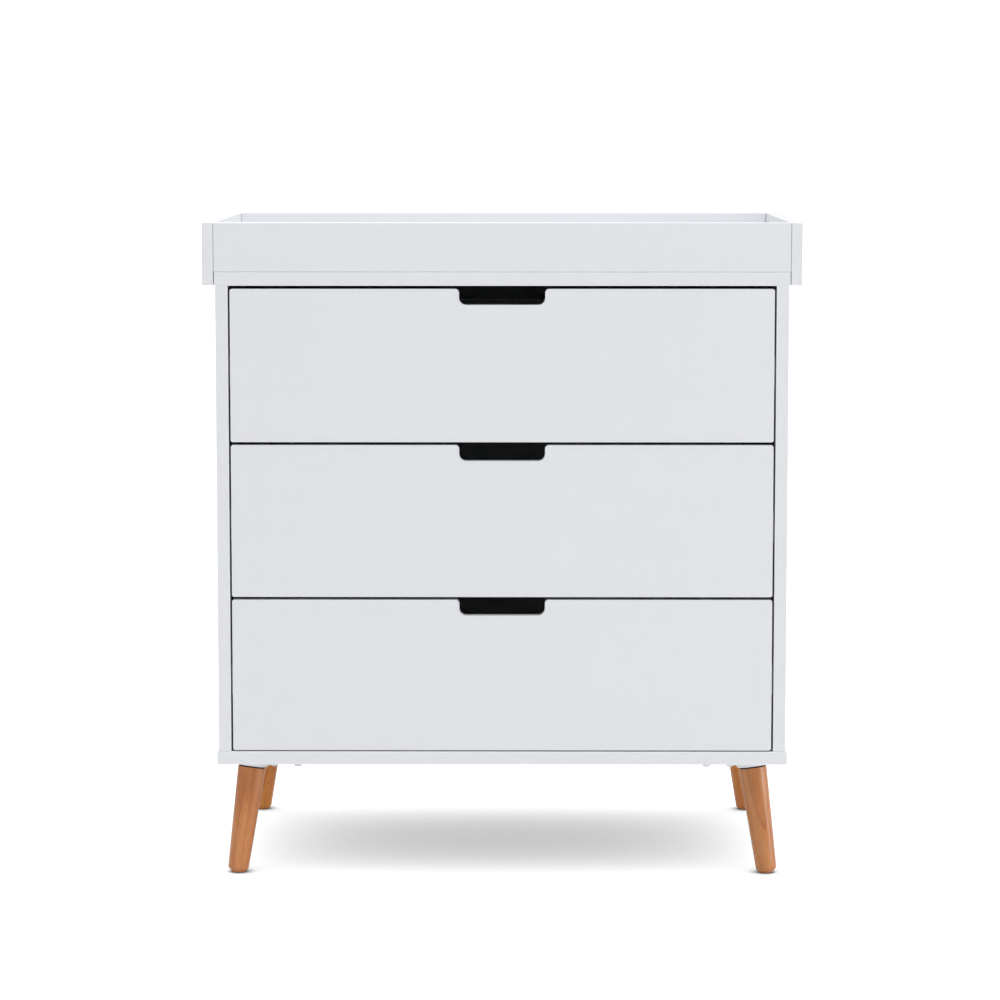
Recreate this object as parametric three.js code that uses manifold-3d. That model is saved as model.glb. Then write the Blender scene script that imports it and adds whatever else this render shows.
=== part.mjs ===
// Three-drawer changing table: a board cabinet on four splayed round legs, three inset drawers
// on ball-bearing runners, and an open changing tray that stands on the cabinet's top panel.
//
// Millimetres, +Z up, front towards -Y. The origin is on the floor under the table's middle.
// Touching pieces keep FIT between them. "side" is -1 for left (-X) and +1 for right (+X).

import * as THREE from 'three';
import { mergeVertices } from 'three/addons/utils/BufferGeometryUtils.js';
import Module from 'manifold-3d';

const wasm = await Module();
wasm.setup();

// ---- Driving dimensions ---------------------------------------------------------------------

const WIDTH = 800;                 // over the tray's side boards
const DEPTH = 500;                 // tray, top and base panels all share it
const HEIGHT = 885;                // floor to the tray's top edge
const FIT = 0.3;                   // gap between touching pieces

// Cabinet
const BASE_UNDERSIDE = 154;
const PANEL = 18;                  // top and base panel thickness
const SIDE_PANEL = 17;
const CABINET_WIDTH = 766;         // over the side panels
const BASE_WIDTH = 771;
const TOP_WIDTH = 768;
const OPENING_HEIGHT = 629;        // base panel to top panel, inside
const BACK_THICKNESS = 4;
const BACK_INSET = 8;              // from the cabinet's rear edge to the back panel
const BACK_GROOVE_DEPTH = 6;

// Tray
const TRAY_BOARD = 15;
const BRACKET = { width: 34, leg: 38, thickness: 2, offset: 255 };

// Drawers
const DRAWER_LEVELS = ['bottom', 'middle', 'top'];
const FRONT_HEIGHT = 205;
const FRONT_THICKNESS = 16;
const FRONT_SIDE_GAP = 2.7;
const FRONT_BOTTOM_GAP = 1.8;
const FRONT_BETWEEN_GAP = 4;
const FRONT_CORNER_RADIUS = 3;
const CUTOUT = { width: 115, depth: 21.5, lowerRadius: 9.5, upperRadius: 5.5 };
const BOX_BOARD = 12;
const BOX_HEIGHT = 155;
const BOX_RISE = 15;               // box's lower edge above the front's lower edge
const BOX_LENGTH = 450;
const BOTTOM_THICKNESS = 4;
const BOTTOM_RISE = 10;            // bottom panel above the box's lower edge
const BOTTOM_GROOVE_DEPTH = 6;

// Runners: three nested channels in the gap beside each drawer box
const RUNNER_SPACE = 12.7;
const RUNNER_LENGTH = 446;
const RUNNER_SHEET = 1.2;
const RUNNER_START = 4;            // behind the drawer front's rear face
const RUNNER_RISE = 93.5;          // runner's centre above the drawer front's lower edge
const RUNNER_OUTER = { halfHeight: 21, web: FIT, lips: 9.6, lipTurn: 2 };
const RUNNER_SLIDE = { halfHeight: 17.3, web: 4.1, lips: 10.6, lipTurn: 1.8 };
const RUNNER_INNER = { halfHeight: 12.8, web: RUNNER_SPACE - FIT, lips: 7.2, lipTurn: 0 };

// Legs
const LEG_TOP_OFFSET = { x: 340.5, y: 200 };     // leg axis at the base panel's underside
const LEG_FOOT_OFFSET = { x: 361, y: 220.5 };    // leg axis at the floor
const LEG_TOP_RADIUS = 19;
const LEG_FOOT_RADIUS = 13.9;
const LEG_FOOT_CHAMFER = 6;
const LEG_FOOT_SUNK = 0.75;        // how far the square-cut end is trimmed level
const BLOCK_DEPTH = 11;            // mounting block's length along the leg axis
const BLOCK_RIM = 0.6;             // how far its lower edge stands out past the leg
const BOLT_RADIUS = 4;
const BOLT_IN_LEG = 25;
const BOLT_IN_BLOCK = 8;
const BOLT_CHAMFER = 0.8;
const ROUND_SEGMENTS = 48;
const BOLT_SEGMENTS = 16;
const CORNER_SEGMENTS = 6;         // steps in each rounded corner of a drawer front

// ---- Worked out from them ---------------------------------------------------------------------

const FRONT_Y = -DEPTH / 2;
const REAR_Y = DEPTH / 2;
const BASE_TOP = BASE_UNDERSIDE + PANEL;
const TOP_UNDERSIDE = BASE_TOP + OPENING_HEIGHT;
const TOP_UPPER = TOP_UNDERSIDE + PANEL;
const OPENING_HALF = CABINET_WIDTH / 2 - SIDE_PANEL;
const BOX_HALF = OPENING_HALF - RUNNER_SPACE;
const FRONT_HALF = OPENING_HALF - FRONT_SIDE_GAP;
const FRONT_REAR_Y = FRONT_Y + FRONT_THICKNESS;
const BACK_LOW_Y = REAR_Y - BACK_INSET - BACK_THICKNESS;

const FINISHES = {
  whiteBoard: { color: 0xdfe0e4, roughness: 0.45, metalness: 0 },
  whitePlastic: { color: 0xe4e5e8, roughness: 0.5, metalness: 0 },
  beech: { color: 0xae7549, roughness: 0.5, metalness: 0 },
  zincSteel: { color: 0xa9adb2, roughness: 0.35, metalness: 0.9 },
};

// ---- Solids -----------------------------------------------------------------------------------

function toManifold(geometry) {
  const bare = geometry.clone();
  bare.deleteAttribute('normal');
  bare.deleteAttribute('uv');
  const merged = mergeVertices(bare);
  return new wasm.Manifold(new wasm.Mesh({
    numProp: 3,
    vertProperties: new Float32Array(merged.attributes.position.array),
    triVerts: new Uint32Array(merged.index.array),
  }));
}

function toGeometry(manifold) {
  const mesh = manifold.getMesh();
  const geometry = new THREE.BufferGeometry();
  geometry.setAttribute('position', new THREE.BufferAttribute(new Float32Array(mesh.vertProperties), 3));
  geometry.setIndex(new THREE.BufferAttribute(new Uint32Array(mesh.triVerts), 1));
  geometry.computeVertexNormals();
  return geometry;
}

function boxGeometry(low, high) {
  const size = high.map((value, axis) => value - low[axis]);
  const middle = high.map((value, axis) => (value + low[axis]) / 2);
  return new THREE.BoxGeometry(...size).translate(...middle);
}

function subtractAll(geometry, cutters) {
  let solid = toManifold(geometry);
  for (const cutter of cutters) {
    solid = solid.subtract(toManifold(cutter));
  }
  return toGeometry(solid);
}

function namedMesh(name, geometry, finish) {
  const mesh = new THREE.Mesh(geometry, new THREE.MeshStandardMaterial(FINISHES[finish]));
  mesh.name = name;
  return mesh;
}

// A board between two corners, with box-shaped grooves or notches cut from it.
function board(name, low, high, cuts = [], finish = 'whiteBoard') {
  const centre = high.map((value, axis) => (value + low[axis]) / 2);
  const toLocal = (corner) => corner.map((value, axis) => value - centre[axis]);
  const plain = boxGeometry(toLocal(low), toLocal(high));
  const cutters = cuts.map((cut) => boxGeometry(toLocal(cut.low), toLocal(cut.high)));
  const geometry = cutters.length > 0 ? subtractAll(plain, cutters) : plain;
  const mesh = namedMesh(name, geometry, finish);
  mesh.position.set(...centre);
  return mesh;
}

// Extrudes an outline drawn in X and Z along +Y, from y = 0 to y = length.
function extrudeAlongY(outline, length, curveSegments = CORNER_SEGMENTS) {
  const geometry = new THREE.ExtrudeGeometry(outline, { depth: length, bevelEnabled: false, curveSegments });
  return geometry.rotateX(Math.PI / 2).translate(0, length, 0);
}

// Turns a profile of [radius, height] points about the Z axis.
function turned(profile, segments) {
  const points = profile.map(([radius, height]) => new THREE.Vector2(radius, height));
  return new THREE.LatheGeometry(points, segments).rotateX(Math.PI / 2);
}

function sideName(side) {
  return side < 0 ? 'left' : 'right';
}

// ---- Cabinet ----------------------------------------------------------------------------------

// The groove that the back panel sits in, as deep as BACK_GROOVE_DEPTH all round the opening.
function backGroove() {
  const reach = OPENING_HALF + BACK_GROOVE_DEPTH;
  return {
    low: [-reach, BACK_LOW_Y - FIT, BASE_TOP - BACK_GROOVE_DEPTH],
    high: [reach, BACK_LOW_Y + BACK_THICKNESS + FIT, TOP_UNDERSIDE + BACK_GROOVE_DEPTH],
  };
}

function sidePanel(side) {
  const inner = side * OPENING_HALF;
  const outer = side * CABINET_WIDTH / 2;
  return board(
    `${sideName(side)}_side_panel`,
    [Math.min(inner, outer), FRONT_Y, BASE_TOP + FIT],
    [Math.max(inner, outer), REAR_Y, TOP_UNDERSIDE - FIT],
    [backGroove()],
  );
}

function cabinetPanels() {
  const groove = backGroove();
  const backLow = [groove.low[0] + FIT, groove.low[1] + FIT, groove.low[2] + FIT];
  const backHigh = [groove.high[0] - FIT, groove.high[1] - FIT, groove.high[2] - FIT];
  return [
    board('base_panel', [-BASE_WIDTH / 2, FRONT_Y, BASE_UNDERSIDE], [BASE_WIDTH / 2, REAR_Y, BASE_TOP], [groove]),
    board('top_panel', [-TOP_WIDTH / 2, FRONT_Y, TOP_UNDERSIDE], [TOP_WIDTH / 2, REAR_Y, TOP_UPPER], [groove]),
    sidePanel(-1),
    sidePanel(1),
    board('back_panel', backLow, backHigh),
  ];
}

// ---- Legs ---------------------------------------------------------------------------------------

// A leg is turned about its own axis, tilted onto the line from foot to top, and trimmed level
// at the floor. Its mounting block and bolt share the axis; the block is trimmed at the base.
function legAssembly(side, end) {
  const foot = new THREE.Vector3(side * LEG_FOOT_OFFSET.x, end * LEG_FOOT_OFFSET.y, 0);
  const top = new THREE.Vector3(side * LEG_TOP_OFFSET.x, end * LEG_TOP_OFFSET.y, BASE_UNDERSIDE);
  const axis = top.clone().sub(foot);
  const fullLength = axis.length();
  const tilt = new THREE.Quaternion().setFromUnitVectors(new THREE.Vector3(0, 0, 1), axis.normalize());
  const seam = fullLength - BLOCK_DEPTH;
  const prefix = `${end < 0 ? 'front' : 'rear'}_${sideName(side)}`;

  const trimmed = (geometry, lowZ, highZ) => {
    const reach = 200;
    const slab = boxGeometry([-reach, -reach, lowZ], [reach, reach, highZ]);
    return toGeometry(toManifold(geometry.applyQuaternion(tilt)).intersect(toManifold(slab)));
  };

  const bore = BOLT_RADIUS + FIT;
  const legProfile = [
    [0, -LEG_FOOT_SUNK],
    [LEG_FOOT_RADIUS - LEG_FOOT_CHAMFER, -LEG_FOOT_SUNK],
    [LEG_FOOT_RADIUS, LEG_FOOT_CHAMFER - LEG_FOOT_SUNK],
    [LEG_TOP_RADIUS, seam],
    [bore, seam],
    [bore, seam - BOLT_IN_LEG - FIT],
    [0, seam - BOLT_IN_LEG - FIT],
  ];
  const blockRadius = LEG_TOP_RADIUS + BLOCK_RIM;
  const blockOvershoot = BLOCK_DEPTH * 2;
  const blockProfile = [
    [bore, seam + FIT],
    [blockRadius, seam + FIT],
    [blockRadius + blockOvershoot, seam + blockOvershoot],
    [bore, seam + blockOvershoot],
    [bore, seam + FIT],
  ];
  const boltLow = seam - BOLT_IN_LEG;
  const boltHigh = seam + BOLT_IN_BLOCK;
  const boltProfile = [
    [0, boltLow],
    [BOLT_RADIUS - BOLT_CHAMFER, boltLow],
    [BOLT_RADIUS, boltLow + BOLT_CHAMFER],
    [BOLT_RADIUS, boltHigh - BOLT_CHAMFER],
    [BOLT_RADIUS - BOLT_CHAMFER, boltHigh],
    [0, boltHigh],
  ];

  const assembly = new THREE.Group();
  assembly.position.copy(foot);
  const leg = trimmed(turned(legProfile, ROUND_SEGMENTS), 0, BASE_UNDERSIDE);
  const block = trimmed(turned(blockProfile, ROUND_SEGMENTS), 0, BASE_UNDERSIDE - FIT);
  const bolt = namedMesh(`${prefix}_leg_bolt`, turned(boltProfile, BOLT_SEGMENTS), 'zincSteel');
  bolt.quaternion.copy(tilt);
  assembly.add(
    namedMesh(`${prefix}_leg`, leg, 'beech'),
    namedMesh(`${prefix}_leg_block`, block, 'whitePlastic'),
    bolt,
  );
  return assembly;
}

// ---- Runners ------------------------------------------------------------------------------------

// A channel's section, drawn in X and Z. X counts from the side panel's face towards the drawer,
// "web" is the face that the channel is fixed by and "lips" is where its flanges end. Where
// lipTurn is not 0, the flanges turn in by that much at their ends, as a ball track does.
function channelOutline({ halfHeight, web, lips, lipTurn }, side) {
  const inward = Math.sign(lips - web);
  const webInside = web + inward * RUNNER_SHEET;
  const lipInside = lips - inward * RUNNER_SHEET;
  const flange = halfHeight - RUNNER_SHEET;
  const corner = 1;
  const upper = lipTurn > 0
    ? [[lips, halfHeight - corner], [lips, flange - lipTurn], [lipInside, flange - lipTurn], [lipInside, flange]]
    : [[lips, halfHeight], [lips, flange]];
  const half = [
    [web, halfHeight - corner],
    [web + inward * corner, halfHeight],
    ...(lipTurn > 0 ? [[lips - inward * corner, halfHeight]] : []),
    ...upper,
    [webInside, flange],
  ];
  const mirrored = half.map(([x, z]) => [x, -z]).reverse();
  const place = ([x, z]) => new THREE.Vector2(side * (OPENING_HALF - x), z);
  return new THREE.Shape([...half, ...mirrored].map(place));
}

function runnerMember(name, section, side, frontZ) {
  const mesh = namedMesh(name, extrudeAlongY(channelOutline(section, side), RUNNER_LENGTH), 'zincSteel');
  mesh.position.set(0, FRONT_REAR_Y + RUNNER_START, frontZ + RUNNER_RISE);
  return mesh;
}

// ---- Drawers ------------------------------------------------------------------------------------

// The front's outline: a rectangle with rounded corners and a finger cut-out in its top edge.
function frontOutline() {
  const corner = FRONT_CORNER_RADIUS;
  const right = Math.PI / 2;
  const halfCut = CUTOUT.width / 2;
  const floorZ = FRONT_HEIGHT - CUTOUT.depth;
  const { lowerRadius, upperRadius } = CUTOUT;
  const shape = new THREE.Shape();
  shape.moveTo(-FRONT_HALF + corner, 0);
  shape.absarc(FRONT_HALF - corner, corner, corner, -right, 0, false);
  shape.absarc(FRONT_HALF - corner, FRONT_HEIGHT - corner, corner, 0, right, false);
  shape.absarc(halfCut + upperRadius, FRONT_HEIGHT - upperRadius, upperRadius, right, 2 * right, false);
  shape.absarc(halfCut - lowerRadius, floorZ + lowerRadius, lowerRadius, 0, -right, true);
  shape.absarc(-halfCut + lowerRadius, floorZ + lowerRadius, lowerRadius, -right, -2 * right, true);
  shape.absarc(-halfCut - upperRadius, FRONT_HEIGHT - upperRadius, upperRadius, 0, right, false);
  shape.absarc(-FRONT_HALF + corner, FRONT_HEIGHT - corner, corner, right, 2 * right, false);
  shape.absarc(-FRONT_HALF + corner, corner, corner, 2 * right, 3 * right, false);
  return shape;
}

// The groove round the inside of a drawer that its bottom panel slides into.
function bottomGroove() {
  const reach = BOX_HALF - BOX_BOARD + BOTTOM_GROOVE_DEPTH;
  const floorZ = BOX_RISE + BOTTOM_RISE;
  const boxRear = FRONT_REAR_Y + BOX_LENGTH;
  return {
    low: [-reach, FRONT_REAR_Y - BOTTOM_GROOVE_DEPTH, floorZ - FIT],
    high: [reach, boxRear - BOX_BOARD + BOTTOM_GROOVE_DEPTH, floorZ + BOTTOM_THICKNESS + FIT],
  };
}

function drawerFront(level, groove) {
  const shift = (corner) => [corner[0], corner[1] - FRONT_Y, corner[2]];
  const cutter = boxGeometry(shift(groove.low), shift(groove.high));
  const plain = extrudeAlongY(frontOutline(), FRONT_THICKNESS);
  const mesh = namedMesh(`${level}_drawer_front`, subtractAll(plain, [cutter]), 'whiteBoard');
  mesh.position.y = FRONT_Y;
  return mesh;
}

function drawer(level, frontZ) {
  const groove = bottomGroove();
  const boxTop = BOX_RISE + BOX_HEIGHT;
  const boxRear = FRONT_REAR_Y + BOX_LENGTH;
  const boxFront = FRONT_REAR_Y + FIT;
  const backReach = BOX_HALF - BOX_BOARD - FIT;
  const group = new THREE.Group();
  group.position.z = frontZ;
  group.add(drawerFront(level, groove));
  for (const side of [-1, 1]) {
    const outer = side * BOX_HALF;
    const inner = side * (BOX_HALF - BOX_BOARD);
    group.add(board(
      `${level}_drawer_${sideName(side)}_side`,
      [Math.min(outer, inner), boxFront, BOX_RISE],
      [Math.max(outer, inner), boxRear, boxTop],
      [groove],
    ));
  }
  group.add(board(
    `${level}_drawer_back`,
    [-backReach, boxRear - BOX_BOARD, BOX_RISE],
    [backReach, boxRear, boxTop],
    [groove],
  ));
  group.add(board(
    `${level}_drawer_bottom`,
    [groove.low[0] + FIT, groove.low[1] + FIT, groove.low[2] + FIT],
    [groove.high[0] - FIT, groove.high[1] - FIT, groove.high[2] - FIT],
  ));
  return group;
}

function drawerWithRunners(level, index) {
  const frontZ = BASE_TOP + FRONT_BOTTOM_GAP + index * (FRONT_HEIGHT + FRONT_BETWEEN_GAP);
  const group = new THREE.Group();
  group.add(drawer(level, frontZ));
  for (const side of [-1, 1]) {
    const prefix = `${level}_${sideName(side)}_runner`;
    group.add(
      runnerMember(`${prefix}_outer`, RUNNER_OUTER, side, frontZ),
      runnerMember(`${prefix}_slide`, RUNNER_SLIDE, side, frontZ),
      runnerMember(`${prefix}_inner`, RUNNER_INNER, side, frontZ),
    );
  }
  return group;
}

// ---- Changing tray ------------------------------------------------------------------------------

// An angle bracket's section, drawn in Y and Z from the inside corner of tray and top panel.
function trayBracket(side) {
  const { width, leg, thickness, offset } = BRACKET;
  const wall = REAR_Y - TRAY_BOARD - FIT;
  const ground = TOP_UPPER + FIT;
  const outline = new THREE.Shape([
    [0, 0], [leg, 0], [leg, thickness], [thickness, thickness], [thickness, leg], [0, leg],
  ].map(([y, z]) => new THREE.Vector2(y, z)));
  const geometry = new THREE.ExtrudeGeometry(outline, { depth: width, bevelEnabled: false });
  geometry.rotateX(Math.PI / 2).rotateZ(-Math.PI / 2).translate(width / 2, 0, 0);
  const mesh = namedMesh(`tray_bracket_${sideName(side)}`, geometry, 'zincSteel');
  mesh.position.set(side * offset, wall, ground);
  return mesh;
}

// The side boards hang past the top panel's ends; the other two stand on it between them.
function tray() {
  const half = WIDTH / 2;
  const inner = half - TRAY_BOARD;
  const crossReach = inner - FIT;
  const crossLow = TOP_UPPER + FIT;
  return [
    board('tray_left_board', [-half, FRONT_Y, TOP_UNDERSIDE], [-inner, REAR_Y, HEIGHT]),
    board('tray_right_board', [inner, FRONT_Y, TOP_UNDERSIDE], [half, REAR_Y, HEIGHT]),
    board('tray_front_board', [-crossReach, FRONT_Y, crossLow], [crossReach, FRONT_Y + TRAY_BOARD, HEIGHT]),
    board('tray_back_board', [-crossReach, REAR_Y - TRAY_BOARD, crossLow], [crossReach, REAR_Y, HEIGHT]),
    trayBracket(-1),
    trayBracket(1),
  ];
}

// ---- The whole table ----------------------------------------------------------------------------

const table = new THREE.Group();
table.add(...cabinetPanels(), ...tray());
for (const side of [-1, 1]) {
  table.add(legAssembly(side, -1), legAssembly(side, 1));
}
DRAWER_LEVELS.forEach((level, index) => table.add(drawerWithRunners(level, index)));

export default table;
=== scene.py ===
"""Looks for a white three-drawer changing table on splayed beech legs.

Boards and brackets are the CAD nodes, with their edges rounded and their materials set here. The
legs, their blocks and the runner channels are made again in more detail from the same nodes.
Screws, cams and the other small hardware are added on the body that they move with.
Metres, +Z up, front at -Y.
"""

import math

import bmesh
import bpy
from mathutils import Matrix, Vector


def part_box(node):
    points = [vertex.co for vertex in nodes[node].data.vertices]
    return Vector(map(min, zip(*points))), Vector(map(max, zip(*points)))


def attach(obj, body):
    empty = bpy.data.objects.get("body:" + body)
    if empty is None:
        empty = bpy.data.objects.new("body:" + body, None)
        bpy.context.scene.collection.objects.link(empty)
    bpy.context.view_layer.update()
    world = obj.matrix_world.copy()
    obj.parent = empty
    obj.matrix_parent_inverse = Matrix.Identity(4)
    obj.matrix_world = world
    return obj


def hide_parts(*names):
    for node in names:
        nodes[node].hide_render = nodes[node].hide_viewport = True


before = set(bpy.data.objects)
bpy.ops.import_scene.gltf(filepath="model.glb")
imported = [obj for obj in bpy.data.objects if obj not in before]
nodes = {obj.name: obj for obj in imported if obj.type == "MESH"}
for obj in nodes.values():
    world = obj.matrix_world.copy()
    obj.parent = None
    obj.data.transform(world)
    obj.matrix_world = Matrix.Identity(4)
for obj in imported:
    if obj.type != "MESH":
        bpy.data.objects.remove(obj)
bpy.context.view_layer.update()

MM = 0.001
LEVELS = ("bottom", "middle", "top")
SIDES = {"left": -1, "right": 1}
ENDS = ("front", "rear")

# ---- Driving values ------------------------------------------------------------------------------

CAMERA_PLACE = (0.0232, -4.8733, 1.0234)
CAMERA_TILT = 6.286          # degrees below level
CAMERA_TURN = 0.322          # degrees towards the left
CAMERA_LENS = 124.9          # focal length, mm
CAMERA_SENSOR = 36           # sensor width, mm

BOARD_EDGE = 0.8 * MM        # rounding of a board's banded edges
FRONT_EDGE = 1.8 * MM        # rounding of the drawer fronts' edges
TRAY_EDGE = 1.2 * MM         # rounding of the tray boards' edges
SHEET_EDGE = 0.2 * MM        # rounding of sheet steel and thin panels
EDGE_STEPS = 3
SHARP_ANGLE = math.radians(35)
FLAT_ANGLE = math.radians(0.5)
WELD_REACH = 0.01 * MM

ROUND_SEGMENTS = 96          # round the legs and their blocks
HEAD_SEGMENTS = 32           # round screw heads and cams
CORNER_STEPS = 5             # along a rounded corner of a turned outline

LEG_SEAM = 1.6 * MM          # seam that the washer fills below the top of the CAD leg
LEG_CHAMFER = 6 * MM
LEG_CHAMFER_ROUND = 2.5 * MM
LEG_TOP_ROUND = 0.5 * MM
WASHER_INSET = 1.2 * MM      # the washer, black as painted shade in the seam, is this much smaller than the leg
WASHER_ROUND = 0.2 * MM
BLOCK_FLARE = 24 * MM        # a block widens by this much over the same height, then is cut level
BLOCK_ROUND = 0.5 * MM

RUNNER_SHEET = 1.2 * MM
RUNNER_SCREWS = (0.08, 0.51, 0.93)      # places along a runner, as shares of its length
RUNNER_SLOTS = {                        # punched slots: (share of the length, length, height)
    "outer": ((0.03, 6 * MM, 6 * MM), (0.20, 16 * MM, 5 * MM), (0.34, 5 * MM, 5 * MM),
              (0.63, 5 * MM, 5 * MM), (0.76, 16 * MM, 5 * MM), (0.98, 6 * MM, 6 * MM)),
    "slide": ((0.10, 30 * MM, 12 * MM), (0.50, 12 * MM, 12 * MM), (0.90, 30 * MM, 12 * MM)),
    "inner": ((0.16, 12 * MM, 4 * MM), (0.30, 5 * MM, 9 * MM), (0.68, 12 * MM, 4 * MM),
              (0.82, 5 * MM, 9 * MM)),
}
LEVER_SHARE = 0.40           # place of the release lever along the drawer channel
LEVER_THICKNESS = 2.2 * MM
LEVER_ROUND = 0.5 * MM
LEVER_EDGE_STEPS = 2
LEVER_OUTLINE = (            # (along, up) in mm: a bar with a thumb tab
    (-24, -4), (-24, 3), (-20, 6), (-10, 6), (-6, 2), (18, 2), (24, 0), (24, -2), (18, -4),
)

RUNNER_HEAD = {"radius": 3.4 * MM, "height": 1.7 * MM, "dome": 0.8}
BOARD_HEAD = {"radius": 3.6 * MM, "height": 0.5 * MM, "dome": 0.3}
BRACKET_HEAD = {"radius": 3.9 * MM, "height": 2.3 * MM, "dome": 0.8}
BASE_HEAD = {"radius": 5.2 * MM, "height": 5.2 * MM, "dome": 0.5}
CAM_HEAD = {"radius": 7.5 * MM, "height": 0.7 * MM, "dome": 0.2}
CAP_RADIUS = 8.5 * MM
CAP_HEIGHT = 0.8 * MM
CAP_ROUND = 0.64 * MM
DOME_STEPS = 8               # from a head's rim to its middle
RECESS_REACH = 0.55          # a cross recess's arms, as a share of the head's radius
RECESS_HALF_WIDTH = 0.12     # half of an arm's width, as a share of the head's radius
RECESS_FLOOR = 0.4           # height of the recess's floor, as a share of the head's height
BRACKET_SHEET = 2 * MM
BRACKET_SCREW_INSET = 13 * MM           # from the free edge of the bracket's leg
BRACKET_SCREW_SPREAD = 9 * MM           # from the bracket's middle
BASE_HEAD_OFFSETS = (277 * MM, 309 * MM)  # from the table's middle
BASE_HEAD_INSET = 15 * MM               # from the base panel's front or rear edge
JOINT_INSET = 34 * MM                   # a cam's distance from the joint that it pulls together
DRAWER_FITTING_INSET = 30 * MM          # from a drawer side's upper or lower edge
CABINET_FITTING_INSET = 60 * MM         # from a side panel's front or rear edge

STUDIO_LIGHT = 0.59          # strength of the white studio around the table
STUDIO_SEEN = 1.1            # the same studio as the camera sees it: full white
SOFTBOXES = {                # (place, what it faces, side in metres, power in W)
    "overhead": ((0.3, -1.6, 5.4), (0, 0, 0.5), 4.5, 170),
    "right": ((3.8, -0.3, 2.4), (0, 0, 0.5), 2.0, 42),
    "back": ((-1.2, 4.5, 3.0), (0, 0, 0.5), 3.0, 52),
}
LEG_SOFTBOX = ((7.2, -1.9, 0.9), (0, 0, 0.1), 2.2, 125)  # masked so that it lights only the legs
FLOOR_SIDE = 80              # m: its edge is lost in the white of the studio
FLOOR_COLOUR = (0.88, 0.88, 0.88, 1)
# painted shadow: the floor's shadow and the contact shadows under the feet, as the camera sees them,
# are painted from these looks, not cast by the lights
FLOOR_REACH = 1.2            # how far the floor looks for what hides the studio from it, m
FLOOR_LOOKS = 32             # rays in each of those looks
FLOOR_DARKEST = 0.32         # how bright the floor is seen where the table hides all of the studio
FLOOR_OPEN = 1.78            # how bright it is seen where nothing hides it: well past white
CONTACT_REACH = 0.018        # how far the floor looks for a foot that stands on it, m
CONTACT_DARKEST = 0.20       # how much of its brightness is left close under a foot
CONTACT_HIDDEN = (0.25, 0.90)  # open share of that look where it is darkest, and where it ends

BOARD_ROUGHNESS = (0.36, 0.46)          # lowest and highest, as in the four below
EDGE_ROUGHNESS = (0.26, 0.34)
THIN_ROUGHNESS = (0.50, 0.62)
BEECH_ROUGHNESS = (0.40, 0.52)
ZINC_ROUGHNESS = (0.26, 0.44)
MOULDED_SPREAD = 0.06                   # how far a moulded surface varies from its own roughness

WHITE_BOARD = (0.80, 0.815, 0.84)
WHITE_BOARD_SHADE = (0.785, 0.80, 0.83)
# painted highlight: the rounded edges are whiter than the board faces, standing in for the light that
# the arrises catch
WHITE_EDGE_PAINTED_HIGHLIGHT = (0.95, 0.96, 0.97)
WHITE_EDGE_PAINTED_HIGHLIGHT_TONE = (0.93, 0.94, 0.96)
WHITE_THIN = (0.74, 0.745, 0.75)
WHITE_THIN_SHADE = (0.70, 0.705, 0.71)
WHITE_PLASTIC = (0.80, 0.81, 0.83)
WHITE_PLASTIC_SHADE = (0.76, 0.77, 0.79)
# painted shade: the black of the seam washer that makes the gap between leg and block read as a dark
# shadow line
SEAM_PAINTED_SHADE = (0.012, 0.014, 0.022)
SEAM_PAINTED_SHADE_TONE = (0.008, 0.009, 0.014)
DARK_PLASTIC = (0.045, 0.046, 0.05)
DARK_PLASTIC_SHADE = (0.03, 0.031, 0.034)
ZINC = (0.58, 0.60, 0.63)
ZINC_BRIGHT = (0.70, 0.71, 0.72)

BEECH_DARK = (0.490, 0.166, 0.040)
BEECH_MIDDLE = (0.535, 0.195, 0.053)
BEECH_LIGHT = (0.585, 0.236, 0.078)
BEECH_FLECK = (0.240, 0.075, 0.022)
RING_SCALE = 26              # growth rings about 12 mm apart
GRAIN_STEP = (0.37, 0.23, 0.11)  # moves each leg's grain this far from the leg before
PITHS = {                    # middle of each leg's growth rings: (x, y) in metres, tilt in degrees
    "front_left": ((-0.052, 0.018), 2.0),
    "front_right": ((-0.014, 0.055), 5.0),
    "rear_left": ((0.020, 0.060), 3.0),
    "rear_right": ((-0.035, 0.040), 3.5),
}
LEG_PAINTED_LIGHT_TINTS = {                # painted light: each tint evens out how its leg is lit: the rear legs, in shade under the table, lighter and yellower, the front right leg, lit more from the right, darker
    "front_left": (1.03, 1.03, 1.00),
    "front_right": (0.90, 0.90, 0.85),
    "rear_left": (1.36, 1.35, 0.82),
    "rear_right": (1.27, 1.26, 0.78),
}


# ---- Material parts ------------------------------------------------------------------------------

def new_material(name):
    """An empty node material, with its Principled shader already on the output."""
    material = bpy.data.materials.new(name)
    material.use_nodes = True
    tree = material.node_tree
    tree.nodes.clear()
    output = tree.nodes.new("ShaderNodeOutputMaterial")
    shader = tree.nodes.new("ShaderNodeBsdfPrincipled")
    tree.links.new(shader.outputs["BSDF"], output.inputs["Surface"])
    return material, tree, shader


def object_coordinates(tree):
    """Object-space coordinates in metres."""
    return tree.nodes.new("ShaderNodeTexCoord").outputs["Object"]


def local_coordinates(tree, matrix):
    """The coordinates in the frame that the matrix places, which has no scale."""
    mapping = tree.nodes.new("ShaderNodeMapping")
    mapping.vector_type = "TEXTURE"
    mapping.inputs["Location"].default_value = matrix.translation
    mapping.inputs["Rotation"].default_value = matrix.to_euler()
    tree.links.new(object_coordinates(tree), mapping.inputs["Vector"])
    return mapping.outputs["Vector"]


def mapped(tree, vector, scale=(1, 1, 1), offset=(0, 0, 0), turn=(0, 0, 0)):
    """Coordinates stretched, turned and moved."""
    mapping = tree.nodes.new("ShaderNodeMapping")
    mapping.inputs["Scale"].default_value = scale
    mapping.inputs["Location"].default_value = offset
    mapping.inputs["Rotation"].default_value = turn
    tree.links.new(vector, mapping.inputs["Vector"])
    return mapping.outputs["Vector"]


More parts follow.
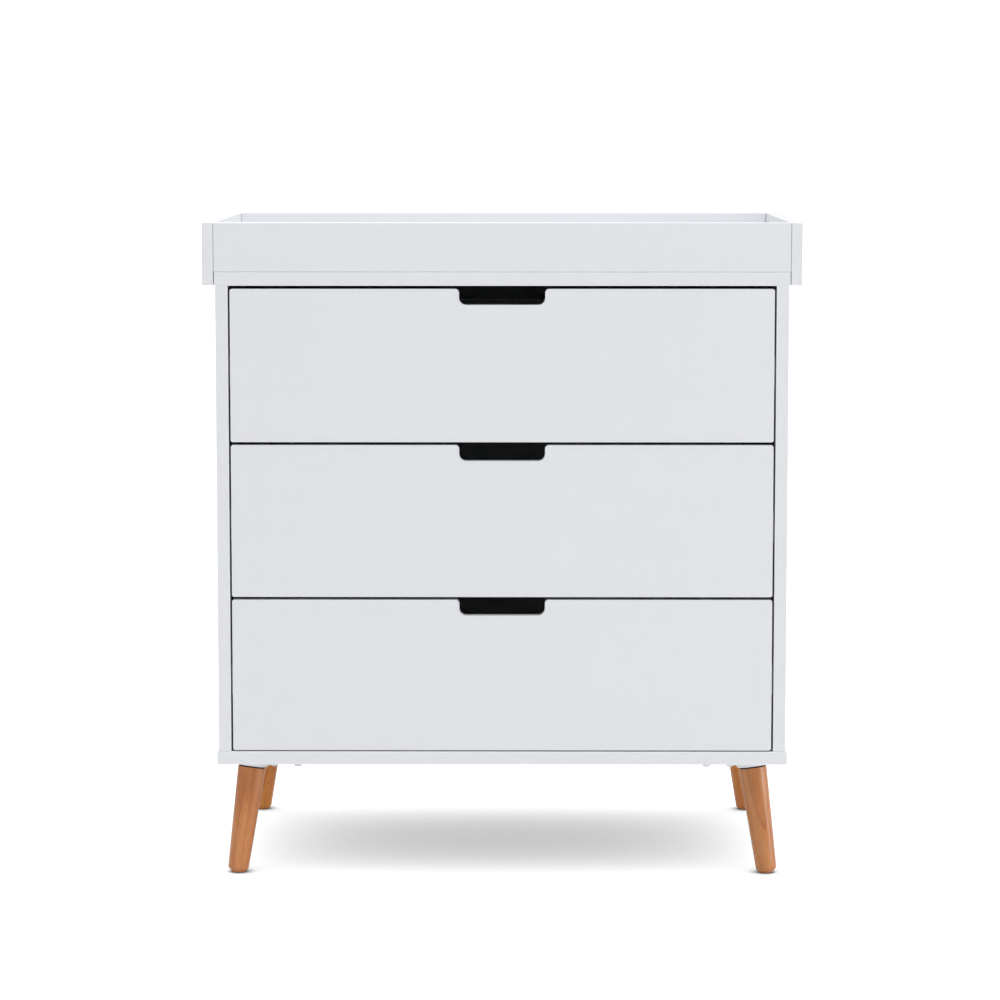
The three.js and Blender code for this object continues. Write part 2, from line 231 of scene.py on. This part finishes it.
def noise(tree, vector, scale, detail=2.0, roughness=0.5):
    node = tree.nodes.new("ShaderNodeTexNoise")
    node.inputs["Scale"].default_value = scale
    node.inputs["Detail"].default_value = detail
    node.inputs["Roughness"].default_value = roughness
    tree.links.new(vector, node.inputs["Vector"])
    return node.outputs["Fac"]


def remap(tree, value, low, high, from_low=0.0, from_high=1.0):
    node = tree.nodes.new("ShaderNodeMapRange")
    node.inputs["From Min"].default_value = from_low
    node.inputs["From Max"].default_value = from_high
    node.inputs["To Min"].default_value = low
    node.inputs["To Max"].default_value = high
    tree.links.new(value, node.inputs["Value"])
    return node.outputs["Result"]


def ramp(tree, value, stops):
    """A colour ramp through (position, colour) stops."""
    node = tree.nodes.new("ShaderNodeValToRGB")
    elements = node.color_ramp.elements
    while len(elements) < len(stops):
        elements.new(0.5)
    for element, (position, colour) in zip(elements, stops):
        element.position = position
        element.color = (*colour, 1)
    tree.links.new(value, node.inputs["Fac"])
    return node.outputs["Color"]


def mix_colours(tree, factor, first, second, blend="MIX"):
    """Blends two colours. The factor and each colour may be a value or a socket."""
    node = tree.nodes.new("ShaderNodeMix")
    node.data_type = "RGBA"
    node.blend_type = blend
    sockets = {socket.identifier: socket for socket in node.inputs}
    for name, value in (("Factor_Float", factor), ("A_Color", first), ("B_Color", second)):
        if isinstance(value, tuple):
            sockets[name].default_value = (*value, 1)
        elif isinstance(value, float):
            sockets[name].default_value = value
        else:
            tree.links.new(value, sockets[name])
    return next(socket for socket in node.outputs if socket.identifier == "Result_Color")


def bump(tree, shader, height, strength, distance):
    node = tree.nodes.new("ShaderNodeBump")
    node.inputs["Strength"].default_value = strength
    node.inputs["Distance"].default_value = distance
    tree.links.new(height, node.inputs["Height"])
    tree.links.new(node.outputs["Normal"], shader.inputs["Normal"])


# ---- Materials -----------------------------------------------------------------------------------

def white_board_material(name, first, second, roughness):
    """Satin melamine face: an even white with faint cloudiness and a fine pressed texture."""
    material, tree, shader = new_material(name)
    place = object_coordinates(tree)
    cloud = noise(tree, place, scale=5, detail=3)
    shader.inputs["Specular IOR Level"].default_value = 0.45
    tree.links.new(mix_colours(tree, cloud, first, second), shader.inputs["Base Color"])
    patches = noise(tree, place, scale=38, detail=4)
    tree.links.new(remap(tree, patches, *roughness), shader.inputs["Roughness"])
    bump(tree, shader, noise(tree, place, scale=1400), strength=0.12, distance=0.06 * MM)
    return material


def beech_material(prefix, seed, matrix):
    """Turned beech under satin varnish, with its grain along the leg's own Z.

    The growth rings lie round a tilted pith behind the leg, so on the turned surface they open
    into a few long pointed arches. Fine fibre and short faint flecks lie along the grain.
    """
    material, tree, shader = new_material(f"beech_{prefix}")
    # the leg's painted-light tint scales the wood colours
    dark, middle, light = (tuple(part * share for part, share in zip(colour, LEG_PAINTED_LIGHT_TINTS[prefix]))
                           for colour in (BEECH_DARK, BEECH_MIDDLE, BEECH_LIGHT))
    (pith_x, pith_y), pith_tilt = PITHS[prefix]
    place = local_coordinates(tree, matrix)
    offset = tuple(step * seed for step in GRAIN_STEP)
    tone = noise(tree, mapped(tree, place, (1, 1, 0.22), offset), scale=42, detail=1)
    ground = ramp(tree, tone, [(0.36, dark), (0.50, middle), (0.64, light)])

    rings = tree.nodes.new("ShaderNodeTexWave")
    rings.wave_type = "RINGS"
    rings.rings_direction = "Z"
    rings.wave_profile = "SAW"
    rings.inputs["Scale"].default_value = RING_SCALE
    rings.inputs["Distortion"].default_value = 2.0
    rings.inputs["Detail"].default_value = 1
    rings.inputs["Detail Scale"].default_value = 0.5
    tilted = mapped(tree, place, offset=(pith_x, pith_y, 0), turn=(math.radians(pith_tilt), 0, 0))
    tree.links.new(tilted, rings.inputs["Vector"])
    late_wood = remap(tree, rings.outputs["Fac"], 0.0, 1.0, from_low=0.45)
    ringed = mix_colours(tree, 0.75, ground, ramp(tree, late_wood, [
        (0.0, (1.0, 1.0, 1.0)),
        (0.70, (0.94, 0.88, 0.82)),
        (1.0, (0.74, 0.60, 0.47)),
    ]), "MULTIPLY")

    fibre = noise(tree, mapped(tree, place, (1, 1, 0.03), offset), scale=1000, detail=3)
    fibred = mix_colours(tree, 0.8, ringed, ramp(tree, fibre, [
        (0.30, (0.86, 0.82, 0.78)),
        (0.70, (1.0, 1.0, 1.0)),
    ]), "MULTIPLY")
    fleck_noise = noise(tree, mapped(tree, place, (1, 1, 0.16), offset), scale=620, detail=1)
    flecks = remap(tree, fleck_noise, 0.0, 0.35, from_low=0.60, from_high=0.72)
    tree.links.new(mix_colours(tree, flecks, fibred, BEECH_FLECK), shader.inputs["Base Color"])
    tree.links.new(remap(tree, fibre, *BEECH_ROUGHNESS), shader.inputs["Roughness"])
    shader.inputs["Specular IOR Level"].default_value = 0.35
    shader.inputs["Coat Weight"].default_value = 0.6
    shader.inputs["Coat Roughness"].default_value = 0.32
    bump(tree, shader, fibre, strength=0.15, distance=0.06 * MM)
    return material


def zinc_material():
    """Bright zinc-plated sheet: rolling lines along Y and a slightly cloudy shine."""
    material, tree, shader = new_material("zinc_steel")
    shader.inputs["Metallic"].default_value = 1.0
    cloud = noise(tree, object_coordinates(tree), scale=60, detail=3)
    tree.links.new(mix_colours(tree, cloud, ZINC, ZINC_BRIGHT), shader.inputs["Base Color"])
    lines = noise(tree, mapped(tree, object_coordinates(tree), (1, 0.02, 1)), scale=1800)
    tree.links.new(remap(tree, lines, *ZINC_ROUGHNESS), shader.inputs["Roughness"])
    bump(tree, shader, lines, strength=0.1, distance=0.05 * MM)
    return material


def moulded_material(name, first, second, roughness):
    """Moulded plastic or rubber with a fine spark-eroded texture."""
    material, tree, shader = new_material(name)
    place = object_coordinates(tree)
    cloud = noise(tree, place, scale=30)
    tree.links.new(mix_colours(tree, cloud, first, second), shader.inputs["Base Color"])
    grain = noise(tree, place, scale=2200)
    spread = remap(tree, grain, roughness - MOULDED_SPREAD, roughness + MOULDED_SPREAD)
    tree.links.new(spread, shader.inputs["Roughness"])
    bump(tree, shader, grain, strength=0.2, distance=0.05 * MM)
    return material


board_material = white_board_material("white_board", WHITE_BOARD, WHITE_BOARD_SHADE, BOARD_ROUGHNESS)
# painted highlight: the whiter material for the rounded edges of the boards
edge_highlight_material = white_board_material("white_edge_painted_highlight", WHITE_EDGE_PAINTED_HIGHLIGHT, WHITE_EDGE_PAINTED_HIGHLIGHT_TONE, EDGE_ROUGHNESS)
thin_material = white_board_material("white_thin_panel", WHITE_THIN, WHITE_THIN_SHADE, THIN_ROUGHNESS)
steel_material = zinc_material()
white_plastic = moulded_material("white_plastic", WHITE_PLASTIC, WHITE_PLASTIC_SHADE, roughness=0.46)
dark_plastic = moulded_material("dark_plastic", DARK_PLASTIC, DARK_PLASTIC_SHADE, roughness=0.45)
# painted shade: the black material of the seam washers
seam_painted_shade = moulded_material("seam_painted_shade", SEAM_PAINTED_SHADE, SEAM_PAINTED_SHADE_TONE, roughness=0.7)


# ---- CAD nodes that stay -------------------------------------------------------------------------

def set_materials(piece, *materials):
    piece.data.materials.clear()
    for material in materials:
        piece.data.materials.append(material)


def soften(piece, width):
    """Rounds a CAD node's sharp edges with modifiers. The node's own mesh stays as it is.

    The rounding takes the node's last material, which on a board is the whiter edge material: a
    painted highlight along the rounded edges.
    """
    normals = piece.data.attributes.get("custom_normal")
    if normals is not None:
        piece.data.attributes.remove(normals)
    piece.data.polygons.foreach_set("use_smooth", [True] * len(piece.data.polygons))
    weld = piece.modifiers.new("weld", "WELD")
    weld.merge_threshold = WELD_REACH
    flat = piece.modifiers.new("flat", "DECIMATE")
    flat.decimate_type = "DISSOLVE"
    flat.angle_limit = FLAT_ANGLE
    edges = piece.modifiers.new("edges", "BEVEL")
    edges.width = width
    edges.segments = EDGE_STEPS
    edges.limit_method = "ANGLE"
    edges.angle_limit = SHARP_ANGLE
    edges.harden_normals = True
    edges.material = len(piece.data.materials) - 1


def finish_cad_nodes():
    """Material and edge rounding for every CAD node, by the kind of piece that it is."""
    for name, piece in nodes.items():
        if "bracket" in name or "runner" in name or name.endswith("bolt"):
            set_materials(piece, steel_material)
            soften(piece, SHEET_EDGE)
        elif name == "back_panel" or name.endswith("drawer_bottom"):
            set_materials(piece, thin_material)
            soften(piece, SHEET_EDGE)
        elif name.endswith(("_leg", "_leg_block")):  # hidden by the finer pieces made below
            set_materials(piece, white_plastic)
        elif name.endswith("drawer_front"):
            # the second material paints a highlight on the rounded edges
            set_materials(piece, board_material, edge_highlight_material)
            soften(piece, FRONT_EDGE)
        elif name.startswith("tray"):
            set_materials(piece, board_material)
            soften(piece, TRAY_EDGE)
        else:
            # the second material paints a highlight on the rounded edges
            set_materials(piece, board_material, edge_highlight_material)
            soften(piece, BOARD_EDGE)


# ---- Mesh parts ----------------------------------------------------------------------------------

def turned_mesh(name, outline, segments):
    """A closed solid of revolution about local Z, from (radius, height) points that start and end
    on the axis."""
    build = bmesh.new()
    rings = []
    for point in outline:
        if point.x == 0:
            rings.append([build.verts.new((0, 0, point.y))])
            continue
        turns = [2 * math.pi * index / segments for index in range(segments)]
        rings.append([build.verts.new((point.x * math.cos(turn), point.x * math.sin(turn), point.y))
                      for turn in turns])
    for lower, upper in zip(rings, rings[1:]):
        for index in range(segments):
            after = (index + 1) % segments
            corners = [lower[index % len(lower)], lower[after % len(lower)],
                       upper[after % len(upper)], upper[index % len(upper)]]
            unique = list(dict.fromkeys(corners))
            if len(unique) > 2:
                build.faces.new(unique)
    return finished_mesh(name, build)


def rounded_corner(previous, corner, following, radius):
    """Points of a smooth curve that replaces a corner of an outline."""
    start_way = (previous - corner).normalized() * radius
    end_way = (following - corner).normalized() * radius
    shares = [step / CORNER_STEPS for step in range(CORNER_STEPS + 1)]
    return [corner + start_way * (1 - share) ** 2 + end_way * share ** 2 for share in shares]


def finished_mesh(name, build):
    """Turns a bmesh into a smoothly shaded mesh with its faces pointing out, and frees it."""
    bmesh.ops.recalc_face_normals(build, faces=build.faces)
    mesh = bpy.data.meshes.new(name)
    build.to_mesh(mesh)
    build.free()
    shade(mesh)
    return mesh


def shade(mesh):
    mesh.polygons.foreach_set("use_smooth", [True] * len(mesh.polygons))
    mesh.set_sharp_from_angle(angle=SHARP_ANGLE)


def add_prism(build, outline, low, high, place=Matrix.Identity(4)):
    """Adds to a bmesh a closed prism along local Z, from an outline of (x, y) points."""
    face = build.faces.new([build.verts.new((x, y, low)) for x, y in outline])
    grown = bmesh.ops.extrude_face_region(build, geom=[face])
    lid = [item for item in grown["geom"] if isinstance(item, bmesh.types.BMVert)]
    for vertex in lid:
        vertex.co.z = high
    bmesh.ops.transform(build, matrix=place, verts=lid + list(face.verts))


def cross_outline(reach, half):
    """The outline of a plus sign."""
    arm = [(reach, -half), (reach, half), (half, half)]
    outline = []
    for _ in range(4):
        outline += arm
        arm = [(-y, x) for x, y in arm]
    return outline


def slot_outline(length, width):
    """A slot with round ends. Its length lies along Y, its width along X."""
    radius = min(length, width) / 2
    outline = []
    for index in range(HEAD_SEGMENTS):
        turn = 2 * math.pi * (index + 0.5) / HEAD_SEGMENTS
        across = math.copysign(width / 2 - radius, math.cos(turn))
        along = math.copysign(length / 2 - radius, math.sin(turn))
        outline.append((across + radius * math.cos(turn), along + radius * math.sin(turn)))
    return outline


def carved(mesh, tool):
    """A new mesh: the first one with the second one cut out of it."""
    pieces = [bpy.data.objects.new(data.name, data) for data in (mesh, tool)]
    for piece in pieces:
        bpy.context.scene.collection.objects.link(piece)
    cut = pieces[0].modifiers.new("cut", "BOOLEAN")
    cut.operation = "DIFFERENCE"
    cut.solver = "EXACT"
    cut.object = pieces[1]
    whole = pieces[0].evaluated_get(bpy.context.evaluated_depsgraph_get())
    result = bpy.data.meshes.new_from_object(whole)
    for piece in pieces:
        bpy.data.objects.remove(piece)
    shade(result)
    return result


def cut_level(mesh, height, keep_above):
    """Cuts a mesh level at a height above the floor and closes the cut."""
    build = bmesh.new()
    build.from_mesh(mesh)
    everything = build.verts[:] + build.edges[:] + build.faces[:]
    cut = bmesh.ops.bisect_plane(build, geom=everything, plane_co=(0, 0, height),
                                 plane_no=(0, 0, 1 if keep_above else -1), clear_inner=True)
    edges = [item for item in cut["geom_cut"] if isinstance(item, bmesh.types.BMEdge)]
    bmesh.ops.edgeloop_fill(build, edges=edges)
    name = mesh.name
    bpy.data.meshes.remove(mesh)
    return finished_mesh(name, build)


def place_piece(name, mesh, body, material):
    """Makes a piece from a mesh, on a body, with its material."""
    piece = bpy.data.objects.new(name, mesh)
    bpy.context.scene.collection.objects.link(piece)
    set_materials(piece, material)
    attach(piece, body)
    return piece


# ---- Legs and mounting blocks --------------------------------------------------------------------

def node_points(name):
    return [vertex.co.copy() for vertex in nodes[name].data.vertices]


def leg_frame(prefix):
    """The leg's own frame: origin where its axis meets the floor, local Z up along the axis.

    The hanger bolt is a cylinder on that axis, so its two end rings give two points of it.
    """
    bolt = node_points(f"{prefix}_leg_bolt")
    middle = sum(point.z for point in bolt) / len(bolt)
    lower = [point for point in bolt if point.z < middle]
    upper = [point for point in bolt if point.z >= middle]
    low_point = sum(lower, Vector()) / len(lower)
    high_point = sum(upper, Vector()) / len(upper)
    axis = (high_point - low_point).normalized()
    floor_point = low_point - axis * (low_point.z / axis.z)
    turn = Vector((0, 0, 1)).rotation_difference(axis).to_matrix().to_4x4()
    return Matrix.Translation(floor_point) @ turn


def ring_sizes(node, matrix):
    """Each CAD vertex of a turned node as (height along the axis, radius)."""
    back = matrix.inverted()
    local = [back @ point for point in node_points(node)]
    return [(point.z, math.hypot(point.x, point.y)) for point in local]


def leg_rings(prefix, matrix):
    """(height, radius) of the leg's top ring, and of the ring where its foot's chamfer starts."""
    sizes = ring_sizes(f"{prefix}_leg", matrix)
    top = max(height for height, _ in sizes)
    top_radius = max(radius for _, radius in sizes)
    foot = [size for size in sizes if size[0] < top / 2 and size[1] > top_radius / 2]
    return (top, top_radius), max(foot)


def leg_outline(prefix, matrix):
    """(radius, height) outline of the leg, with its foot's chamfer and its top edge eased."""
    (top, top_radius), (chamfer_top, foot_radius) = leg_rings(prefix, matrix)
    end = chamfer_top - LEG_CHAMFER
    seam = top - LEG_SEAM
    corners = [
        Vector((0, end)),
        Vector((foot_radius - LEG_CHAMFER, end)),
        Vector((foot_radius, chamfer_top)),
        Vector((top_radius, seam)),
        Vector((0, seam)),
    ]
    points = [corners[0]]
    for index, radius in enumerate((LEG_CHAMFER_ROUND, LEG_CHAMFER_ROUND, LEG_TOP_ROUND)):
        points += rounded_corner(*corners[index:index + 3], radius)
    points.append(corners[-1])
    return points


def make_leg(prefix, seed):
    matrix = leg_frame(prefix)
    name = f"{prefix}_leg_turned"
    mesh = turned_mesh(name, leg_outline(prefix, matrix), ROUND_SEGMENTS)
    mesh.transform(matrix)
    wood = beech_material(prefix, seed, matrix)
    leg = place_piece(name, cut_level(mesh, 0, keep_above=True), "cabinet", wood)
    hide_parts(f"{prefix}_leg")
    return leg


def make_block(prefix):
    """The angled block between leg and base panel, flared to a wide seat."""
    matrix = leg_frame(prefix)
    node = f"{prefix}_leg_block"
    sizes = ring_sizes(node, matrix)
    low = min(height for height, _ in sizes)
    rim = max(radius for height, radius in sizes if height < low + WELD_REACH)
    corners = [
        Vector((0, low)),
        Vector((rim, low)),
        Vector((rim + BLOCK_FLARE, low + BLOCK_FLARE)),
        Vector((0, low + BLOCK_FLARE)),
    ]
    outline = [corners[0], *rounded_corner(*corners[:3], BLOCK_ROUND), *corners[2:]]
    mesh = turned_mesh(f"{node}_moulded", outline, ROUND_SEGMENTS)
    mesh.transform(matrix)
    mesh = cut_level(mesh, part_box(node)[1].z, keep_above=False)
    block = place_piece(f"{node}_moulded", mesh, "cabinet", white_plastic)
    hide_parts(node)


def make_seam_shade_washer(prefix):
    """A washer in the seam between a leg and its block, black as painted shade, so that the seam
    shows as a thin dark shadow line.
    """
    matrix = leg_frame(prefix)
    (top, top_radius), _ = leg_rings(prefix, matrix)
    radius = top_radius - WASHER_INSET
    low = top - LEG_SEAM
    corners = [Vector((0, low)), Vector((radius, low)), Vector((radius, top)), Vector((0, top))]
    outline = [
        corners[0],
        *rounded_corner(*corners[:3], WASHER_ROUND),
        *rounded_corner(*corners[1:], WASHER_ROUND),
        corners[3],
    ]
    mesh = turned_mesh(f"{prefix}_leg_washer", outline, ROUND_SEGMENTS)
    mesh.transform(matrix)
    place_piece(mesh.name, mesh, "cabinet", seam_painted_shade)


# ---- Screws, cams and caps -----------------------------------------------------------------------

def head_mesh(radius, height, dome):
    """A round head standing on local Z = 0 with a cross recess. dome is the share of its height
    that is rounded over."""
    rim = height * (1 - dome)
    outline = [Vector((0, 0)), Vector((radius, 0)), Vector((radius, rim))]
    for step in range(1, DOME_STEPS):
        turn = math.pi / 2 * step / DOME_STEPS
        outline.append(Vector((radius * math.cos(turn), rim + height * dome * math.sin(turn))))
    outline.append(Vector((0, height)))
    cross = cross_outline(radius * RECESS_REACH, radius * RECESS_HALF_WIDTH)
    tool = bmesh.new()
    add_prism(tool, cross, height * RECESS_FLOOR, height * 2)
    return carved(turned_mesh("head", outline, HEAD_SEGMENTS), finished_mesh("recess", tool))


def cap_mesh():
    """A plain round cover cap with an eased rim."""
    corners = [
        Vector((0, 0)),
        Vector((CAP_RADIUS, 0)),
        Vector((CAP_RADIUS, CAP_HEIGHT)),
        Vector((0, CAP_HEIGHT)),
    ]
    outline = [*corners[:2], *rounded_corner(*corners[1:], CAP_ROUND), corners[3]]
    return turned_mesh("cap", outline, HEAD_SEGMENTS)


def facing(point, way):
    """The matrix that stands a head on a surface at a point, looking along way."""
    return Matrix.Translation(point) @ Vector(way).to_track_quat("Z", "Y").to_matrix().to_4x4()


def fasten(name, template, places, body, material):
    """One piece that holds a copy of the template at each place."""
    build = bmesh.new()
    for place in places:
        copy = template.copy()
        copy.transform(place)
        build.from_mesh(copy)
        bpy.data.meshes.remove(copy)
    place_piece(name, finished_mesh(name, build), body, material)


def near_ends(low, high, inset):
    """The two places that lie this far inside a stretch's ends."""
    return low + inset, high - inset


runner_head = head_mesh(**RUNNER_HEAD)
board_head = head_mesh(**BOARD_HEAD)
bracket_head = head_mesh(**BRACKET_HEAD)
base_head = head_mesh(**BASE_HEAD)
cam_head = head_mesh(**CAM_HEAD)
cover_cap = cap_mesh()


def make_drawer_fittings(level):
    """Cams that pull the drawer's sides to its front, and screws that hold its back."""
    back_low, back_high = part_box(f"{level}_drawer_back")
    back_y = (back_low.y + back_high.y) / 2
    for side_name, side in SIDES.items():
        node = f"{level}_drawer_{side_name}_side"
        low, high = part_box(node)
        inner_x, outer_x = (high.x, low.x) if side < 0 else (low.x, high.x)
        heights = near_ends(low.z, high.z, DRAWER_FITTING_INSET)
        cams = [facing((inner_x, low.y + JOINT_INSET, z), (-side, 0, 0)) for z in heights]
        fasten(f"{node}_cams", cam_head, cams, f"{level}_drawer", steel_material)
        screws = [facing((outer_x, back_y, z), (side, 0, 0)) for z in heights]
        fasten(f"{node}_screws", board_head, screws, f"{level}_drawer", steel_material)


def make_cabinet_cams():
    """Cams in the side panels that pull them to the top and base panels."""
    for side_name, side in SIDES.items():
        node = f"{side_name}_side_panel"
        low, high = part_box(node)
        inner_x = high.x if side < 0 else low.x
        places = [facing((inner_x, y, z), (-side, 0, 0))
                  for y in near_ends(low.y, high.y, CABINET_FITTING_INSET)
                  for z in near_ends(low.z, high.z, JOINT_INSET)]
        fasten(f"{node}_cams", cam_head, places, "cabinet", steel_material)


def make_base_heads():
    """Domed heads under the base panel, beside the legs, near its front and rear edges."""
    low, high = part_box("base_panel")
    for end, y in zip(ENDS, near_ends(low.y, high.y, BASE_HEAD_INSET)):
        places = [facing((side * offset, y, low.z), (0, 0, -1))
                  for side in SIDES.values() for offset in BASE_HEAD_OFFSETS]
        fasten(f"base_{end}_heads", base_head, places, "cabinet", steel_material)


def make_tray_fittings():
    """Cover caps over the tray's corner cams, and the screws in its two brackets."""
    for board, way in (("tray_front_board", 1), ("tray_back_board", -1)):
        low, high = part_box(board)
        inner_y = high.y if way > 0 else low.y
        places = [facing((x, inner_y, (low.z + high.z) / 2), (0, way, 0))
                  for x in near_ends(low.x, high.x, JOINT_INSET)]
        fasten(f"{board}_caps", cover_cap, places, "tray", white_plastic)
    for side_name in SIDES:
        node = f"tray_bracket_{side_name}"
        low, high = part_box(node)
        middle = (low.x + high.x) / 2
        places = []
        for x in (middle - BRACKET_SCREW_SPREAD, middle + BRACKET_SCREW_SPREAD):
            down = (x, low.y + BRACKET_SCREW_INSET, low.z + BRACKET_SHEET)
            back = (x, high.y - BRACKET_SHEET, high.z - BRACKET_SCREW_INSET)
            places += [facing(down, (0, 0, 1)), facing(back, (0, -1, 0))]
        fasten(f"{node}_screws", bracket_head, places, "tray", steel_material)


# ---- Runners -------------------------------------------------------------------------------------

def punch_channel(node, member, body):
    """Makes a runner channel again with its punched slots."""
    low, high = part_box(node)
    plain = bmesh.new()
    plain.from_mesh(nodes[node].data)
    bmesh.ops.remove_doubles(plain, verts=plain.verts, dist=WELD_REACH)
    bmesh.ops.dissolve_limit(plain, angle_limit=FLAT_ANGLE, verts=plain.verts, edges=plain.edges)
    tool = bmesh.new()
    for share, length, height in RUNNER_SLOTS[member]:
        middle = ((low.x + high.x) / 2, low.y + (high.y - low.y) * share, (low.z + high.z) / 2)
        place = Matrix.Translation(middle) @ Matrix.Rotation(math.pi / 2, 4, "Y")
        reach = high.x - low.x
        add_prism(tool, slot_outline(length, height), -reach, reach, place)
    mesh = carved(finished_mesh(node, plain), finished_mesh("slots", tool))
    channel = place_piece(f"{node}_punched", mesh, body, steel_material)
    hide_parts(node)


def web_surface(node, way):
    """x of the face of a channel's web that looks along way, which is -1 or +1."""
    low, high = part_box(node)
    return (low.x if way > 0 else high.x) + way * RUNNER_SHEET


def screw_runner(node, body, way):
    """Pan heads along a channel's web, which look along way."""
    low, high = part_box(node)
    x = web_surface(node, way)
    places = [facing((x, low.y + (high.y - low.y) * share, (low.z + high.z) / 2), (way, 0, 0))
              for share in RUNNER_SCREWS]
    fasten(f"{node}_screws", runner_head, places, body, steel_material)


def make_lever(node, body, way):
    """The plastic lever that releases the drawer from its runner: a bar with a thumb tab."""
    low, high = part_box(node)
    build = bmesh.new()
    place = facing((web_surface(node, way), low.y + (high.y - low.y) * LEVER_SHARE,
                    (low.z + high.z) / 2), (way, 0, 0))
    add_prism(build, [(x * way * MM, y * MM) for x, y in LEVER_OUTLINE], 0, LEVER_THICKNESS)
    bmesh.ops.recalc_face_normals(build, faces=build.faces)
    bmesh.ops.bevel(build, geom=build.edges[:], offset=LEVER_ROUND, segments=LEVER_EDGE_STEPS,
                    affect="EDGES")
    bmesh.ops.transform(build, matrix=place, verts=build.verts)
    name = f"{node}_lever"
    place_piece(name, finished_mesh(name, build), body, dark_plastic)


def make_runner(level, side_name):
    side = SIDES[side_name]
    bodies = {"outer": "cabinet", "slide": f"{level}_runner_slides", "inner": f"{level}_drawer"}
    for member, body in bodies.items():
        punch_channel(f"{level}_{side_name}_runner_{member}", member, body)
    screw_runner(f"{level}_{side_name}_runner_outer", bodies["outer"], -side)
    screw_runner(f"{level}_{side_name}_runner_inner", bodies["inner"], side)
    make_lever(f"{level}_{side_name}_runner_inner", bodies["inner"], side)


# ---- Stage ---------------------------------------------------------------------------------------

def openness(tree, reach):
    """The share of the half sphere over a surface in which nothing stands within reach."""
    node = tree.nodes.new("ShaderNodeAmbientOcclusion")
    node.samples = FLOOR_LOOKS
    node.inputs["Distance"].default_value = reach
    return node.outputs["AO"]


def make_floor():
    """White paper. The table is lit by its diffuse bounce. The camera sees it overexposed, as a glow,
    with a painted shadow worked out by ambient occlusion rather than cast by the lights: darker only
    where the table hides most of the studio from it and close round the feet."""
    bpy.ops.mesh.primitive_plane_add(size=FLOOR_SIDE)
    floor = bpy.context.object
    floor.name = "floor"
    material = bpy.data.materials.new("floor")
    material.use_nodes = True
    tree = material.node_tree
    tree.nodes.clear()
    paper = tree.nodes.new("ShaderNodeBsdfDiffuse")
    paper.inputs["Color"].default_value = FLOOR_COLOUR
    painted_shadow = remap(tree, openness(tree, FLOOR_REACH), FLOOR_DARKEST, FLOOR_OPEN)
    painted_contact_shadow = remap(tree, openness(tree, CONTACT_REACH), CONTACT_DARKEST, 1.0, *CONTACT_HIDDEN)
    brightness = tree.nodes.new("ShaderNodeMath")
    brightness.operation = "MULTIPLY"
    seen = tree.nodes.new("ShaderNodeEmission")
    tree.links.new(painted_shadow, brightness.inputs[0])
    tree.links.new(painted_contact_shadow, brightness.inputs[1])
    tree.links.new(brightness.outputs["Value"], seen.inputs["Strength"])
    path = tree.nodes.new("ShaderNodeLightPath")
    either = tree.nodes.new("ShaderNodeMixShader")
    output = tree.nodes.new("ShaderNodeOutputMaterial")
    tree.links.new(path.outputs["Is Camera Ray"], either.inputs["Fac"])
    tree.links.new(paper.outputs["BSDF"], either.inputs[1])
    tree.links.new(seen.outputs["Emission"], either.inputs[2])
    tree.links.new(either.outputs["Shader"], output.inputs["Surface"])
    floor.data.materials.append(material)


def make_world():
    """An even white studio: what the camera sees of it is full white, what lights the table less."""
    world = bpy.data.worlds.new("studio")
    world.use_nodes = True
    tree = world.node_tree
    background = tree.nodes["Background"]
    background.inputs["Color"].default_value = (1, 1, 1, 1)
    path = tree.nodes.new("ShaderNodeLightPath")
    tree.links.new(remap(tree, path.outputs["Is Camera Ray"], STUDIO_LIGHT, STUDIO_SEEN),
                   background.inputs["Strength"])
    bpy.context.scene.world = world


def area_light(name, place, target, size, power, lit_pieces=()):
    """A square softbox that faces its target. With lit_pieces, it lights nothing else."""
    light = bpy.data.lights.new(name, "AREA")
    light.shape = "SQUARE"
    light.size = size
    light.energy = power
    lamp = bpy.data.objects.new(name, light)
    bpy.context.scene.collection.objects.link(lamp)
    lamp.location = place
    lamp.rotation_mode = "QUATERNION"
    lamp.rotation_quaternion = (Vector(target) - Vector(place)).to_track_quat("-Z", "Y")
    if lit_pieces:
        lit = bpy.data.collections.new(f"lit_by_{name}")
        for piece in lit_pieces:
            lit.objects.link(piece)
        lamp.light_linking.receiver_collection = lit


def make_camera():
    camera_data = bpy.data.cameras.new("camera")
    camera_data.lens = CAMERA_LENS
    camera_data.sensor_width = CAMERA_SENSOR
    camera = bpy.data.objects.new("camera", camera_data)
    bpy.context.scene.collection.objects.link(camera)
    camera.location = CAMERA_PLACE
    camera.rotation_euler = (math.radians(90 - CAMERA_TILT), 0, math.radians(CAMERA_TURN))
    bpy.context.scene.camera = camera


# ---- Build ---------------------------------------------------------------------------------------

make_camera()
finish_cad_nodes()
legs = []
for seed, prefix in enumerate(LEG_PAINTED_LIGHT_TINTS, start=1):
    legs.append(make_leg(prefix, seed))
    make_block(prefix)
    make_seam_shade_washer(prefix)
for level in LEVELS:
    make_drawer_fittings(level)
    for side_name in SIDES:
        make_runner(level, side_name)
make_cabinet_cams()
make_base_heads()
make_tray_fittings()
make_floor()
make_world()
for name, softbox in SOFTBOXES.items():
    area_light(name, *softbox)
area_light("legs", *LEG_SOFTBOX, lit_pieces=legs)
bpy.context.scene.view_settings.view_transform = "Standard"

for template in (runner_head, board_head, bracket_head, base_head, cam_head, cover_cap):
    bpy.data.meshes.remove(template)
